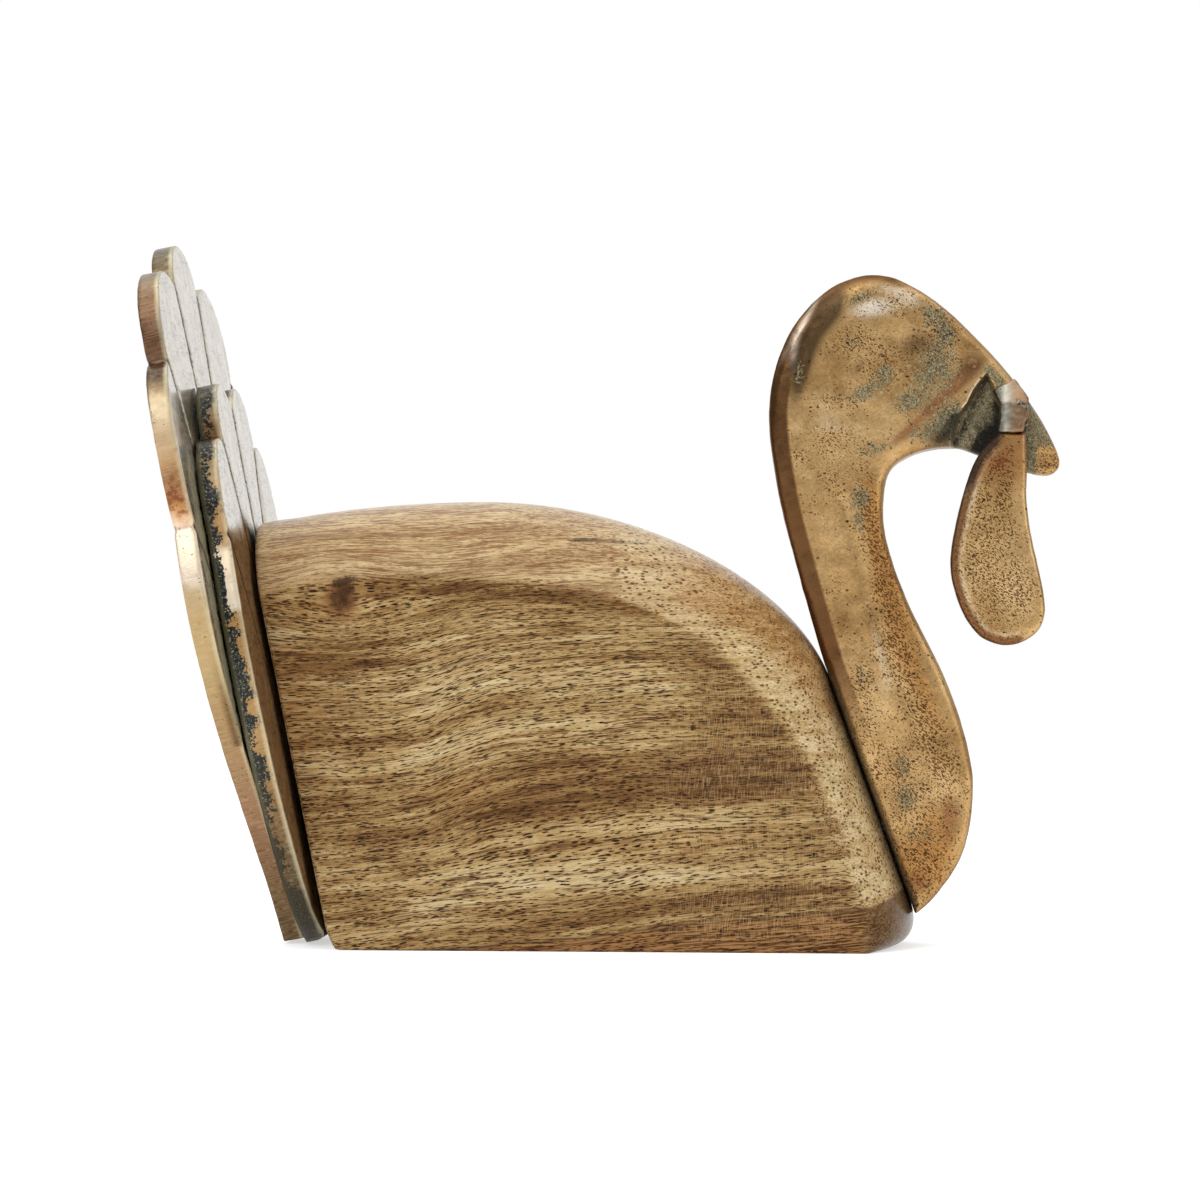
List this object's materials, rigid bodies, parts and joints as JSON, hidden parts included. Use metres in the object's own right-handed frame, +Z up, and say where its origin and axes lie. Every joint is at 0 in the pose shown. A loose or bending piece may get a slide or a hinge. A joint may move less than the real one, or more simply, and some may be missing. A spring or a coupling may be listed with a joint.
{
  "type": "turkey figurine",
  "caption": "Tabletop turkey with a crowned wooden body, a hooked cast metal neck with a hanging snood, and scalloped cast tail fans.",
  "frame": {"origin": "centre of the body's flat underside, which the figure stands on", "axes": "+X towards the head, +Y to the bird's left side, +Z up"},
  "size_m": [0.2992, 0.1424, 0.2312],
  "materials": {
    "mango_wood": "sanded and oiled, open dark pores and one knot",
    "antique_brass": "cast aluminium with an antique brass finish, pitted and rubbed back",
    "blackened_brass": "cast aluminium with an antique brass finish and blackened, speckled edges",
    "bare_metal": "bare ground metal, bright and slightly pitted",
    "steel": "plain steel"
  },
  "bodies": {
    "root": {"wooden_body": "mango_wood", "neck_casting": "antique_brass", "neck_stud_lower": "steel", "neck_stud_upper": "steel", "snood_lug": "bare_metal", "snood_casting": "antique_brass", "tail_fan_small": "blackened_brass", "tail_fan_large": "antique_brass", "tail_screw_lower": "steel", "tail_screw_upper": "steel"}
  },
  "joints": []
}
